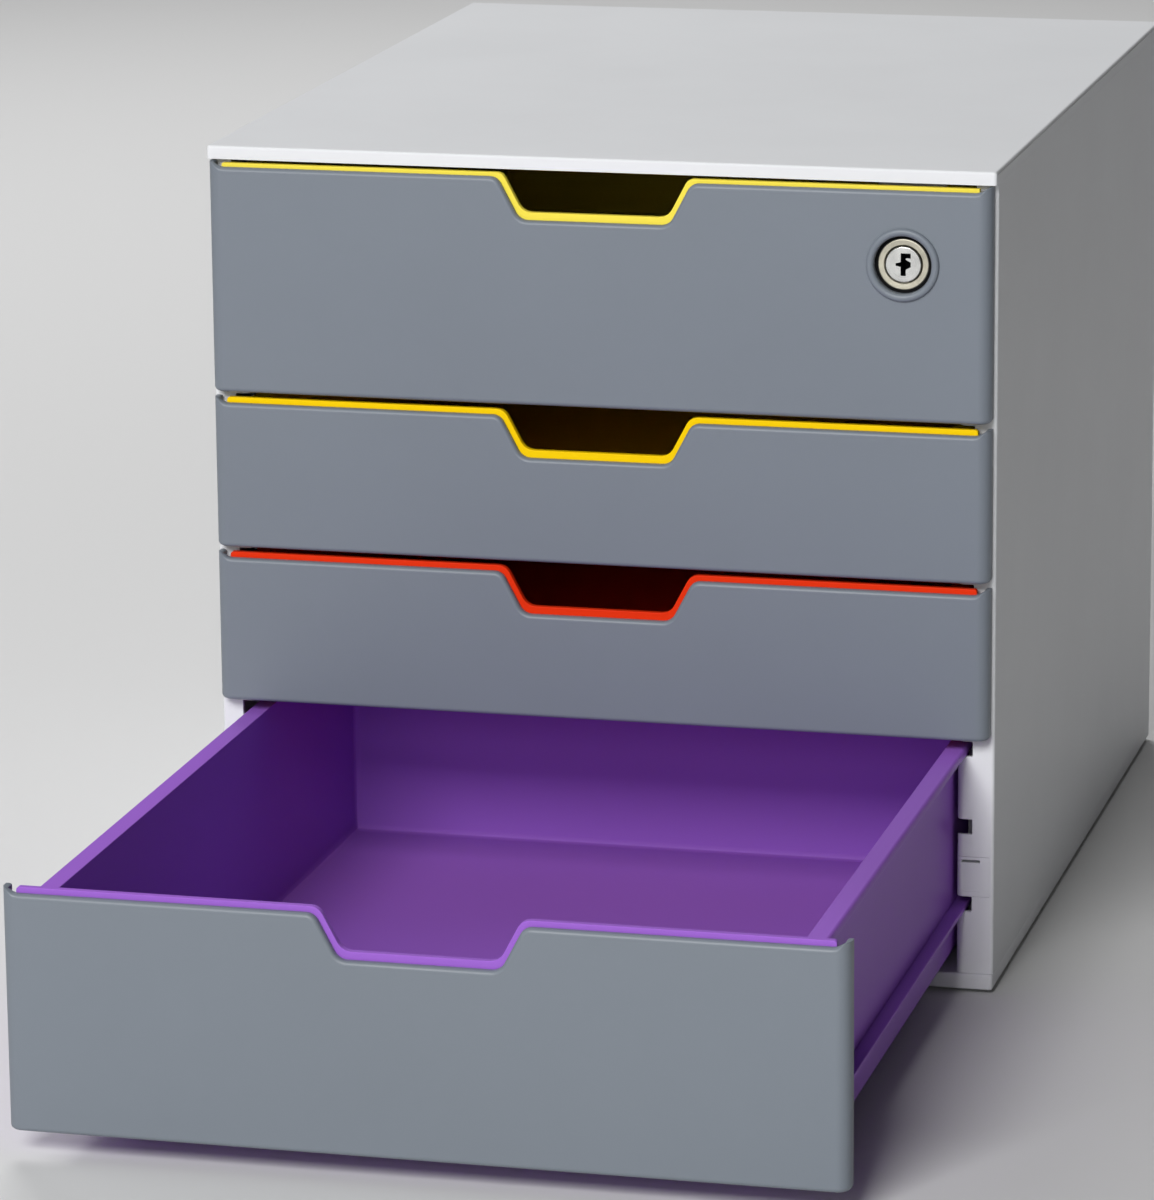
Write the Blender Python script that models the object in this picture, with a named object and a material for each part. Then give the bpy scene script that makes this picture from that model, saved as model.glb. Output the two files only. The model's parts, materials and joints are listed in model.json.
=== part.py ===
"""Desktop file drawer: a light grey casing, four coloured trays behind slate grey fronts, and a cam lock.

Metres, +Z up, the drawers pull out towards -Y. The origin is on the table, under the middle of the casing.
The top drawer's lock is open and the bottom drawer is pulled out nearly to its stops.
"""

import math

import bmesh
import bpy
from mathutils import Matrix, Vector

# Casing
CASE_WIDTH = 0.280
CASE_DEPTH = 0.3525
CASE_CORNER = 0.0012
TOP_THICKNESS = 0.0047
TOP_SHEET = 0.0026
TOP_RIM = 0.006
TOP_EDGE_RADIUS = 0.0009
TOP_RIB = 0.002
TOP_RIB_TO_STRIKE = 0.003
UNIT_PITCH = 0.028
DRAWER_UNITS = (3, 2, 2, 3)
FOOT_STAND = 0.0015

# Base
BASE_HEIGHT = 0.0058
BASE_SHEET = 0.002
BASE_RIM = 0.010
BASE_RIB = 0.0022
BASE_CELLS = 3
BASE_PROUD = 0.001
BASE_EDGE_RADIUS = 0.0009

# Feet
FOOT_RADIUS = 0.007
FOOT_INSET = 0.017
FOOT_SEAT_DEPTH = 0.0015
FOOT_BOSS = 0.0105
FOOT_EDGE_RADIUS = 0.0005

# Side panels and their front stiles
SKIN = 0.0022
STILE_SETBACK = 0.004
STILE_WIDTH = 0.0132
STILE_DEPTH = 0.008
STILE_INNER_RADIUS = 0.0026
NOTCH_RADIUS = 0.0008
BACK_LEDGE_WIDTH = 0.006
BACK_LEDGE_THICKNESS = 0.002

# Back panel
BACK_THICKNESS = 0.0024
BACK_FIELD_INSET = 0.022
BACK_FIELD_DEPTH = 0.0006
BACK_FIELD_RADIUS = 0.006

# Runner slots, one at the top of each unit
SLOT_HEIGHT = 0.0055
SLOT_DROP = 0.0001
SLOT_FLOOR_INSET = 0.0076
RACK_SHEET = 0.0016
RACK_BACK_CLEARANCE = 0.0005

# Drawer stops: a sprung tongue beside the lowest slot of each bay
STOP_HEIGHT = 0.0142
WINDOW_SKIN = 0.001
STOP_TOOTH = 0.0014
STOP_TOOTH_LENGTH = 0.0022
STOP_RAMP = 0.0034
STOP_PAD_INSET = 0.0018
STOP_PAD_WIDTH = 0.0066
STOP_PAD_DEPTH = 0.0004
STOP_SLIT = 0.0009
STOP_SLIT_DROP = 0.0009
STOP_SLIT_DEPTH = 0.004
TRAVEL = 0.240
OPEN_AT_REST = 0.2326

# Front covers
COVER_PROUD = 0.0035
COVER_SIDE_INSET = 0.0011
COVER_WALL = 0.0025
COVER_RETURN = 0.002
COVER_TOP_GAP = 0.0026
COVER_BOTTOM_GAP = 0.0017
COVER_SIDE_STOP = 0.0009
COVER_CORNER = 0.0034
COVER_FACE_RADIUS = 0.0012
COVER_BOTTOM_RADIUS = 0.0012
EAR_WIDTH = 0.0014
EAR_RUN = 0.0022
EAR_RADIUS = 0.0016

# Finger cut-outs
GRIP_TOP_HALF = 0.0344
GRIP_BOTTOM_HALF = 0.0265
GRIP_DEPTH = 0.0149
GRIP_SHOULDER_RADIUS = 0.0045
GRIP_BOTTOM_RADIUS = 0.005
GRIP_LIP_RISE = 0.0027
GRIP_LIP_SIDE = 0.0022

# Trays
TRAY_WALL = 0.0025
TRAY_FLOOR = 0.002
TRAY_SIDE_CLEARANCE = 0.0015
TRAY_BOTTOM_CLEARANCE = 0.0043
TRAY_BACK_CLEARANCE = 0.0047
TRAY_FRONT_TOP_GAP = 0.0006
TRAY_FRONT_RADIUS = 0.0012
TRAY_KEEL_RADIUS = 0.0045
TRAY_INNER_RADIUS = 0.0028
RIM_THICKNESS = 0.0026
RIM_EDGE_RADIUS = 0.0018
RIM_SIDE_CLEARANCE = 0.0012
RAIL_THICKNESS = 0.0018
LUG_LENGTH = 0.005
LUG_TOP_CLEARANCE = 0.0004

# Lock
LOCK_INSET = 0.0316
LOCK_DROP = 0.0277
COLLAR_RADIUS = 0.0130
COLLAR_RISE = 0.001
COLLAR_STEPS = 6
LOCK_HOLE_RADIUS = 0.0101
WASHER_THICKNESS = 0.0008
FLANGE_RADIUS = 0.0089
FLANGE_SETBACK = 0.001
FLANGE_EDGE_RADIUS = 0.0004
BARREL_RADIUS = 0.0080
BARREL_LENGTH = 0.0170
PLUG_RADIUS = 0.0062
PLUG_RUNNING_GAP = 0.0002
PLUG_SETBACK = 0.0002
PLUG_TAIL = 0.0052
KEYWAY_HEIGHT = 0.0078
KEYWAY_WIDTH = 0.0018
KEYWAY_WARD = 0.0017
KEYWAY_DEPTH = 0.009
NUT_SIDES = 6
NUT_ACROSS = 0.0205
NUT_THICKNESS = 0.0035
CAM_THICKNESS = 0.002
CAM_REACH = 0.0240
CAM_WIDTH = 0.0120
CAM_SCREW_HEAD_RADIUS = 0.0042
CAM_SCREW_HEAD_THICKNESS = 0.002
CAM_SCREW_RADIUS = 0.0015
CAM_SCREW_LENGTH = 0.005
STRIKE_THICKNESS = 0.002
STRIKE_WIDTH = 0.024
STRIKE_FOOT = 0.014
STRIKE_HOLD = 0.0031
STRIKE_PLAY = 0.001

# Fits and cuts
SEAT_GAP = 0.0003
OVERRUN = 0.01
MERGE = 0.000001

# Facets
ARC_STEP = math.radians(30)
ROUND_STEPS = 32
SMALL_ROUND_STEPS = 20
EDGE_STEPS = 2
SHARP_ANGLE = math.radians(35)
EDGE_LIMIT_SHARE = 0.8

# Worked-out places
FRONT_Y = -CASE_DEPTH / 2
BACK_Y = CASE_DEPTH / 2
HALF_WIDTH = CASE_WIDTH / 2
STACK_LOW = FOOT_STAND + BASE_HEIGHT
STACK_HIGH = STACK_LOW + sum(DRAWER_UNITS) * UNIT_PITCH
CASE_HEIGHT = STACK_HIGH + TOP_THICKNESS
STILE_FRONT_Y = FRONT_Y + STILE_SETBACK
STILE_BACK_Y = STILE_FRONT_Y + STILE_DEPTH
PANEL_LOW = STACK_LOW + SEAT_GAP
PANEL_HIGH = STACK_HIGH - SEAT_GAP
BAY_HALF = HALF_WIDTH - STILE_WIDTH
SLOT_FLOOR_X = HALF_WIDTH - SLOT_FLOOR_INSET
BACK_FRONT_Y = BACK_Y - BACK_THICKNESS
COVER_HALF = HALF_WIDTH - COVER_SIDE_INSET
LOCK_X = HALF_WIDTH - LOCK_INSET

# Worked-out places in a drawer, from the stile's front face and the bottom of its bay
COVER_FRONT = -(STILE_SETBACK + COVER_PROUD)
COVER_BACK = -COVER_SIDE_STOP
TRAY_FRONT = COVER_FRONT + COVER_WALL + SEAT_GAP
TRAY_FRONT_BACK = TRAY_FRONT + TRAY_WALL
TRAY_BACK = CASE_DEPTH - STILE_SETBACK - BACK_THICKNESS - TRAY_BACK_CLEARANCE
TRAY_HALF = BAY_HALF - TRAY_SIDE_CLEARANCE
RIM_HALF = SLOT_FLOOR_X - RIM_SIDE_CLEARANCE
RAIL_TOP_IN_UNIT = UNIT_PITCH - SLOT_DROP - SLOT_HEIGHT + SEAT_GAP + RAIL_THICKNESS
RIM_TOP_IN_UNIT = UNIT_PITCH - SLOT_DROP - SLOT_HEIGHT + SEAT_GAP + RIM_THICKNESS
STOP_BACK = STILE_DEPTH
FLANGE_FRONT = COVER_FRONT + FLANGE_SETBACK
BARREL_BACK = TRAY_FRONT + BARREL_LENGTH
CAM_FRONT = BARREL_BACK + SEAT_GAP
CAM_BACK = CAM_FRONT + CAM_THICKNESS

# Colours
CASING_GREY = (0.60, 0.61, 0.63)
COVER_GREY = (0.195, 0.222, 0.262)
TRAY_COLOURS = (
    ("yellow", (0.93, 0.74, 0.07)),
    ("amber", (0.93, 0.56, 0.01)),
    ("red", (0.72, 0.045, 0.015)),
    ("purple", (0.115, 0.030, 0.270)),
)
NICKEL = (0.62, 0.60, 0.54)
STEEL = (0.45, 0.45, 0.46)
RUBBER = (0.02, 0.02, 0.022)


def clear_scene():
    """Remove every object that the file opened with."""
    for item in list(bpy.data.objects):
        bpy.data.objects.remove(item, do_unlink=True)


def material(name, colour, roughness, metallic=0.0):
    """A Principled material of one colour."""
    made = bpy.data.materials.new(name)
    made.use_nodes = True
    shader = made.node_tree.nodes["Principled BSDF"]
    shader.inputs["Base Color"].default_value = (*colour, 1.0)
    shader.inputs["Roughness"].default_value = roughness
    shader.inputs["Metallic"].default_value = metallic
    made.diffuse_color = (*colour, 1.0)
    return made


def body_empty(name, place=(0, 0, 0)):
    """An empty that carries the pieces of one rigid body."""
    made = bpy.data.objects.new(name, None)
    made.location = place
    bpy.context.scene.collection.objects.link(made)
    return made


def solid(name, mesh):
    """Wrap a bmesh in a linked object, with its faces pointing out."""
    bmesh.ops.remove_doubles(mesh, verts=mesh.verts, dist=MERGE)
    bmesh.ops.recalc_face_normals(mesh, faces=mesh.faces)
    data = bpy.data.meshes.new(name)
    mesh.to_mesh(data)
    mesh.free()
    made = bpy.data.objects.new(name, data)
    bpy.context.scene.collection.objects.link(made)
    return made


def finish(piece, paint, body):
    """Give a piece its material, smooth its round faces and hang it on its body's empty."""
    piece.data.materials.clear()
    piece.data.materials.append(paint)
    piece.data.shade_smooth()
    piece.data.set_sharp_from_angle(angle=SHARP_ANGLE)
    piece.parent = body
    return piece


def rounded(corners, step=ARC_STEP):
    """An outline from corners (a, b, radius), each turned into an arc."""
    points = []
    for index, (a, b, radius) in enumerate(corners):
        here = Vector((a, b))
        if not radius:
            points.append(here)
            continue
        before = (Vector(corners[index - 1][:2]) - here).normalized()
        after = (Vector(corners[(index + 1) % len(corners)][:2]) - here).normalized()
        half = before.angle(after) / 2
        start = here + before * radius / math.tan(half)
        centre = here + (before + after).normalized() * radius / math.sin(half)
        end = here + after * radius / math.tan(half)
        sweep = math.pi - 2 * half
        turn = math.copysign(sweep, (start - centre).cross(end - centre))
        steps = max(1, math.ceil(sweep / step))
        for count in range(steps + 1):
            spoke = start - centre
            spoke.rotate(Matrix.Rotation(turn * count / steps, 2))
            points.append(centre + spoke)
    return points


def rectangle(low, high, radius=0.0):
    """The corners of an upright rectangle, all with one radius."""
    (left, bottom), (right, top) = low, high
    return [(left, bottom, radius), (right, bottom, radius), (right, top, radius), (left, top, radius)]


def prism(name, outline, axis, low, high):
    """A solid of one outline, drawn square to an axis and pulled from low to high along it."""
    places = {
        "X": lambda a, b, along: (along, a, b),
        "Y": lambda a, b, along: (a, along, b),
        "Z": lambda a, b, along: (a, b, along),
    }
    place = places[axis]
    mesh = bmesh.new()
    face = mesh.faces.new([mesh.verts.new(place(a, b, low)) for a, b in outline])
    pulled = bmesh.ops.extrude_face_region(mesh, geom=[face])["geom"]
    moved = [item for item in pulled if isinstance(item, bmesh.types.BMVert)]
    bmesh.ops.translate(mesh, verts=moved, vec=place(0, 0, high - low))
    return solid(name, mesh)


def block(name, low, high):
    """A box between two corners."""
    outline = rounded(rectangle(low[:2], high[:2]))
    return prism(name, outline, "Z", low[2], high[2])


def turned(name, profile, centre, steps):
    """A solid turned about an axis along Y, from a closed profile of (radius, y) points."""
    mesh = bmesh.new()
    ring = [mesh.verts.new((centre[0] + radius, y, centre[1])) for radius, y in profile]
    edges = [mesh.edges.new((ring[index - 1], ring[index])) for index in range(len(ring))]
    for edge in [item for item in edges if all(vert.co.x == centre[0] for vert in item.verts)]:
        mesh.edges.remove(edge)
    bmesh.ops.spin(
        mesh,
        geom=mesh.verts[:] + mesh.edges[:],
        cent=(centre[0], 0, centre[1]),
        axis=(0, 1, 0),
        angle=math.tau,
        steps=steps,
        use_merge=True,
    )
    return solid(name, mesh)


def combine(piece, tool, operation):
    """Cut, join or keep the common part of two solids, and drop the tool."""
    modifier = piece.modifiers.new(operation.lower(), "BOOLEAN")
    modifier.operation = operation
    modifier.solver = "EXACT"
    modifier.object = tool
    graph = bpy.context.evaluated_depsgraph_get()
    result = bpy.data.meshes.new_from_object(piece.evaluated_get(graph))
    piece.modifiers.clear()
    old = piece.data
    piece.data = result
    bpy.data.meshes.remove(old)
    bpy.data.objects.remove(tool, do_unlink=True)
    return piece


def cut(piece, tool):
    return combine(piece, tool, "DIFFERENCE")


def join(piece, tool):
    return combine(piece, tool, "UNION")


def merged(name, pieces):
    """Several separate solids as one tool."""
    mesh = bmesh.new()
    for piece in pieces:
        mesh.from_mesh(piece.data)
        bpy.data.objects.remove(piece, do_unlink=True)
    return solid(name, mesh)


def bevel_edges(piece, chosen, width, steps):
    """Round the edges whose two ends are chosen by a test of their middle and direction."""
    mesh = bmesh.new()
    mesh.from_mesh(piece.data)
    mesh.edges.ensure_lookup_table()
    edges = []
    for edge in mesh.edges:
        first, second = (vert.co for vert in edge.verts)
        if chosen((first + second) / 2, (second - first).normalized()):
            edges.append(edge)
    bmesh.ops.bevel(mesh, geom=edges, offset=width, segments=steps, profile=0.5, affect="EDGES")
    bmesh.ops.recalc_face_normals(mesh, faces=mesh.faces)
    mesh.to_mesh(piece.data)
    mesh.free()
    return piece


def near(value, target):
    return abs(value - target) < MERGE


def edge_radius(radius, corner):
    """A rounded edge's radius, kept smaller than that of the upright corner that it runs round."""
    return min(radius, EDGE_LIMIT_SHARE * corner)


def bays():
    """Each drawer's number, units and the bottom of its bay, from the top down."""
    listed = []
    high = STACK_HIGH
    for number, units in enumerate(DRAWER_UNITS, 1):
        high -= units * UNIT_PITCH
        listed.append((number, units, high))
    return listed


def slot_span(unit_low):
    """The bottom and top of the runner slot in the unit that starts at a height."""
    top = unit_low + UNIT_PITCH - SLOT_DROP
    return top - SLOT_HEIGHT, top


def side_sign(side):
    return -1 if side == "left" else 1


def mirrored(outline, sign):
    """An outline of (x, other) points on the right, or its mirror image on the left."""
    return [(sign * a, b) for a, b in outline]


def top_panel(paint, body):
    """The lid: a flat sheet with a deep front edge, a rim that sits on the sides, and ribs beneath."""
    outline = rounded(rectangle((-HALF_WIDTH, FRONT_Y), (HALF_WIDTH, BACK_Y), CASE_CORNER))
    lid = prism("top_panel", outline, "Z", STACK_HIGH, CASE_HEIGHT)
    radius = edge_radius(TOP_EDGE_RADIUS, CASE_CORNER)
    bevel_edges(lid, lambda at, way: near(at.z, CASE_HEIGHT), radius, EDGE_STEPS)
    inner_half = HALF_WIDTH - TOP_RIM
    front = STILE_BACK_Y + SEAT_GAP
    back = BACK_Y - TOP_RIM
    beside_strike = LOCK_X - STRIKE_WIDTH / 2 - TOP_RIB_TO_STRIKE
    places = (-beside_strike, 0, beside_strike)
    lefts = [-inner_half] + [place + TOP_RIB / 2 for place in places]
    rights = [place - TOP_RIB / 2 for place in places] + [inner_half]
    pockets = [
        block("pocket", (left, front, STACK_HIGH - OVERRUN), (right, back, CASE_HEIGHT - TOP_SHEET))
        for left, right in zip(lefts, rights)
    ]
    return finish(cut(lid, merged("pockets", pockets)), paint, body)


def foot_places():
    """Where the four feet stand."""
    reach_x = HALF_WIDTH - FOOT_INSET
    reach_y = CASE_DEPTH / 2 - FOOT_INSET
    return {
        "front_left": (-reach_x, -reach_y),
        "front_right": (reach_x, -reach_y),
        "rear_left": (-reach_x, reach_y),
        "rear_right": (reach_x, reach_y),
    }


def polygon(centre, radius, sides):
    """The outline of a regular polygon about a centre."""
    turns = [math.tau * count / sides for count in range(sides)]
    return [(centre[0] + radius * math.cos(turn), centre[1] + radius * math.sin(turn)) for turn in turns]


def upright_disc(name, centre, radius, low, high, steps):
    """A round disc standing on its flat face."""
    return prism(name, polygon(centre, radius, steps), "Z", low, high)


def base_plate(paint, body):
    """The plinth: a sheet with a rim, ribs and a solid middle beneath, and round seats for the feet."""
    front = STILE_FRONT_Y - BASE_PROUD
    outline = rounded(rectangle((-HALF_WIDTH, front), (HALF_WIDTH, BACK_Y), CASE_CORNER))
    plinth = prism("base_plate", outline, "Z", FOOT_STAND, STACK_LOW)
    radius = edge_radius(BASE_EDGE_RADIUS, CASE_CORNER)
    bevel_edges(plinth, lambda at, way: near(at.z, FOOT_STAND), radius, EDGE_STEPS)
    low_x = -HALF_WIDTH + BASE_RIM
    low_y = front + BASE_RIM
    cell_x = (CASE_WIDTH - 2 * BASE_RIM - (BASE_CELLS - 1) * BASE_RIB) / BASE_CELLS
    cell_y = (BACK_Y - front - 2 * BASE_RIM - (BASE_CELLS - 1) * BASE_RIB) / BASE_CELLS
    pockets = []
    for column in range(BASE_CELLS):
        for row in range(BASE_CELLS):
            if column == row == BASE_CELLS // 2:
                continue
            left = low_x + column * (cell_x + BASE_RIB)
            near_y = low_y + row * (cell_y + BASE_RIB)
            low = (left, near_y, FOOT_STAND - OVERRUN)
            high = (left + cell_x, near_y + cell_y, STACK_LOW - BASE_SHEET)
            pockets.append(block("pocket", low, high))
    cells = merged("cells", pockets)
    for centre in foot_places().values():
        boss = upright_disc("boss", centre, FOOT_BOSS, FOOT_STAND - 2 * OVERRUN, STACK_LOW, ROUND_STEPS)
        cut(cells, boss)
    cut(plinth, cells)
    for centre in foot_places().values():
        top = FOOT_STAND + FOOT_SEAT_DEPTH
        seat = upright_disc("seat", centre, FOOT_RADIUS + SEAT_GAP, FOOT_STAND - OVERRUN, top, ROUND_STEPS)
        cut(plinth, seat)
    return finish(plinth, paint, body)


def feet(paint, body):
    """Four rubber feet, each pressed into its round seat."""
    top = FOOT_STAND + FOOT_SEAT_DEPTH - SEAT_GAP
    for name, centre in foot_places().items():
        foot = upright_disc("foot_" + name, centre, FOOT_RADIUS, 0, top, SMALL_ROUND_STEPS)
        bevel_edges(foot, lambda at, way: near(at.z, 0), FOOT_EDGE_RADIUS, 1)
        finish(foot, paint, body)


def side_panel(side, paint, body):
    """A side: the outer skin, the front stile with its slots and stop windows, and a ledge for the back."""
    sign = side_sign(side)
    inner = HALF_WIDTH - SKIN
    ledge_back = BACK_FRONT_Y - SEAT_GAP
    ledge_front = ledge_back - BACK_LEDGE_THICKNESS
    corners = [
        (HALF_WIDTH, STILE_FRONT_Y, CASE_CORNER),
        (HALF_WIDTH, BACK_Y, CASE_CORNER),
        (inner, BACK_Y, 0),
        (inner, ledge_back, 0),
        (inner - BACK_LEDGE_WIDTH, ledge_back, 0),
        (inner - BACK_LEDGE_WIDTH, ledge_front, 0),
        (inner, ledge_front, 0),
        (inner, STILE_BACK_Y, 0),
        (BAY_HALF, STILE_BACK_Y, 0),
        (BAY_HALF, STILE_FRONT_Y, STILE_INNER_RADIUS),
    ]
    outline = mirrored(rounded(corners), sign)
    panel = prism(side + "_side_panel", outline, "Z", PANEL_LOW, PANEL_HIGH)
    spans = [slot_span(STACK_LOW + count * UNIT_PITCH) for count in range(sum(DRAWER_UNITS))]
    cut(panel, merged("notches", [notch_tool(sign, low, high) for low, high in spans]))
    for _, _, bay_low in bays():
        cut(panel, window_tool(sign, slot_span(bay_low)[1]))
    return finish(panel, paint, body)


def notch_tool(sign, low, high):
    """A runner slot's notch through the stile, whose mouth is rounded."""
    floor = SLOT_FLOOR_X
    mouth = BAY_HALF
    corners = [
        (mouth - OVERRUN, low - NOTCH_RADIUS, 0),
        (mouth, low - NOTCH_RADIUS, 0),
        (mouth, low, NOTCH_RADIUS),
        (floor, low, 0),
        (floor, high, 0),
        (mouth, high, NOTCH_RADIUS),
        (mouth, high + NOTCH_RADIUS, 0),
        (mouth - OVERRUN, high + NOTCH_RADIUS, 0),
    ]
    outline = mirrored(rounded(corners), sign)
    return prism("notch", outline, "Y", STILE_FRONT_Y - OVERRUN, STILE_BACK_Y + OVERRUN)


def window_tool(sign, slot_top):
    """The window in the stile, from the lowest slot up, that a drawer stop fills out to a thin skin."""
    near_x, far_x = sorted((sign * (BAY_HALF - OVERRUN), sign * (HALF_WIDTH - WINDOW_SKIN)))
    start = (near_x, STILE_FRONT_Y - OVERRUN, slot_top)
    end = (far_x, STILE_BACK_Y + OVERRUN, slot_top + STOP_HEIGHT + SEAT_GAP)
    return block("window", start, end)


def runner_rack(side, paint, body):
    """The folded sheet behind the stile that carries the drawers: a ledge and a slot in every unit."""
    sign = side_sign(side)
    face = []
    back = []
    for count in range(sum(DRAWER_UNITS)):
        unit_low = STACK_LOW + count * UNIT_PITCH
        low, high = slot_span(unit_low)
        band_low = unit_low - SLOT_DROP if count else PANEL_LOW
        face += [(BAY_HALF, band_low), (BAY_HALF, low), (SLOT_FLOOR_X, low), (SLOT_FLOOR_X, high)]
        fold_low = band_low + RACK_SHEET if count else PANEL_LOW
        back += [
            (BAY_HALF + RACK_SHEET, fold_low),
            (BAY_HALF + RACK_SHEET, low - RACK_SHEET),
            (SLOT_FLOOR_X + RACK_SHEET, low - RACK_SHEET),
            (SLOT_FLOOR_X + RACK_SHEET, high + RACK_SHEET),
        ]
    face[-1] = (SLOT_FLOOR_X, PANEL_HIGH)
    back[-1] = (SLOT_FLOOR_X + RACK_SHEET, PANEL_HIGH)
    outline = mirrored(face + back[::-1], sign)
    ledge_front = BACK_FRONT_Y - SEAT_GAP - BACK_LEDGE_THICKNESS
    front = STILE_BACK_Y + SEAT_GAP
    rack = prism(side + "_runner_rack", outline, "Y", front, ledge_front - RACK_BACK_CLEARANCE)
    return finish(rack, paint, body)


def back_panel(paint, body):
    """The back, let in between the two skins against their ledges, with a sunk field outside."""
    half = HALF_WIDTH - SKIN - SEAT_GAP
    outline = rounded(rectangle((-half, PANEL_LOW), (half, PANEL_HIGH)))
    panel = prism("back_panel", outline, "Y", BACK_FRONT_Y, BACK_Y)
    low = (-half + BACK_FIELD_INSET, PANEL_LOW + BACK_FIELD_INSET)
    high = (half - BACK_FIELD_INSET, PANEL_HIGH - BACK_FIELD_INSET)
    outline = rounded(rectangle(low, high, BACK_FIELD_RADIUS))
    cut(panel, prism("field", outline, "Y", BACK_Y - BACK_FIELD_DEPTH, BACK_Y + OVERRUN))
    return finish(panel, paint, body)


def drawer_stop(number, side, bay_low, paint, body):
    """An insert in the stile whose ramped tooth hangs into the lowest slot and catches the tray's lug."""
    sign = side_sign(side)
    slot_top = slot_span(bay_low)[1]
    top = slot_top + STOP_HEIGHT
    outer = HALF_WIDTH - WINDOW_SKIN - SEAT_GAP
    corners = [
        (BAY_HALF, STILE_FRONT_Y, STILE_INNER_RADIUS),
        (outer, STILE_FRONT_Y, 0),
        (outer, STILE_BACK_Y, 0),
        (BAY_HALF, STILE_BACK_Y, 0),
    ]
    outline = mirrored(rounded(corners), sign)
    stop = prism(f"drawer_stop_{number}_{side}", outline, "Z", slot_top - STOP_TOOTH, top)
    near_x, far_x = sorted((sign * (BAY_HALF - OVERRUN), sign * (outer + OVERRUN)))
    tooth_front = STILE_BACK_Y - STOP_TOOTH_LENGTH
    ramp = [
        (STILE_FRONT_Y - OVERRUN, slot_top),
        (tooth_front - STOP_RAMP, slot_top),
        (tooth_front, slot_top - STOP_TOOTH),
        (tooth_front, slot_top - STOP_TOOTH - OVERRUN),
        (STILE_FRONT_Y - OVERRUN, slot_top - STOP_TOOTH - OVERRUN),
    ]
    cut(stop, prism("ramp", ramp, "X", near_x, far_x))
    beside_x = sorted((sign * (SLOT_FLOOR_X - SEAT_GAP), sign * (outer + OVERRUN)))
    low = (beside_x[0], STILE_FRONT_Y - OVERRUN, slot_top - STOP_TOOTH - OVERRUN)
    cut(stop, block("beside", low, (beside_x[1], STILE_BACK_Y + OVERRUN, slot_top + SEAT_GAP)))
    pad_near = BAY_HALF + STOP_PAD_INSET
    pad_x = sorted((sign * pad_near, sign * (pad_near + STOP_PAD_WIDTH)))
    pad_top = top - STOP_SLIT_DROP
    low = (pad_x[0], STILE_FRONT_Y - OVERRUN, slot_top + STOP_PAD_INSET)
    cut(stop, block("pad", low, (pad_x[1], STILE_FRONT_Y + STOP_PAD_DEPTH, pad_top)))
    low = (pad_x[0], STILE_FRONT_Y - OVERRUN, pad_top - STOP_SLIT)
    cut(stop, block("slit", low, (pad_x[1], STILE_FRONT_Y + STOP_SLIT_DEPTH, pad_top)))
    return finish(stop, paint, body)


def lock_strike(paint, body):
    """The angle under the lid that the lock's cam turns up behind."""
    top = CASE_HEIGHT - TOP_SHEET - SEAT_GAP
    low = STACK_HIGH - LOCK_DROP + CAM_REACH - STRIKE_HOLD
    back = STILE_FRONT_Y + CAM_FRONT - STRIKE_PLAY
    front = back - STRIKE_THICKNESS
    corners = [
        (front, low, 0),
        (back, low, 0),
        (back, top - STRIKE_THICKNESS, 0),
        (back + STRIKE_FOOT, top - STRIKE_THICKNESS, 0),
        (back + STRIKE_FOOT, top, 0),
        (front, top, STRIKE_THICKNESS / 2),
    ]
    left = LOCK_X - STRIKE_WIDTH / 2
    strike = prism("lock_strike", rounded(corners), "X", left, left + STRIKE_WIDTH)
    return finish(strike, paint, body)


def grip_corners(top, bottom_half, top_half, depth):
    """The finger cut-out's corners from right to left, for an outline whose top edge is at a height."""
    return [
        (top_half, top, GRIP_SHOULDER_RADIUS),
        (bottom_half, top - depth, GRIP_BOTTOM_RADIUS),
        (-bottom_half, top - depth, GRIP_BOTTOM_RADIUS),
        (-top_half, top, GRIP_SHOULDER_RADIUS),
    ]


def cover_outline(height):
    """The cover from the front, drawn past its sides: small ears at the ends and the finger cut-out."""
    top = height - COVER_TOP_GAP
    ear_top = height - TRAY_FRONT_TOP_GAP
    ear_in = COVER_HALF - EAR_WIDTH
    shoulder = ear_in - EAR_RUN
    past = COVER_HALF + OVERRUN
    right = [
        (past, -OVERRUN, 0),
        (past, ear_top, 0),
        (ear_in, ear_top, EAR_RADIUS),
        (shoulder, top, EAR_RADIUS),
    ]
    left = [(-a, b, radius) for a, b, radius in reversed(right)]
    return rounded(right + grip_corners(top, GRIP_BOTTOM_HALF, GRIP_TOP_HALF, GRIP_DEPTH) + left)


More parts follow.
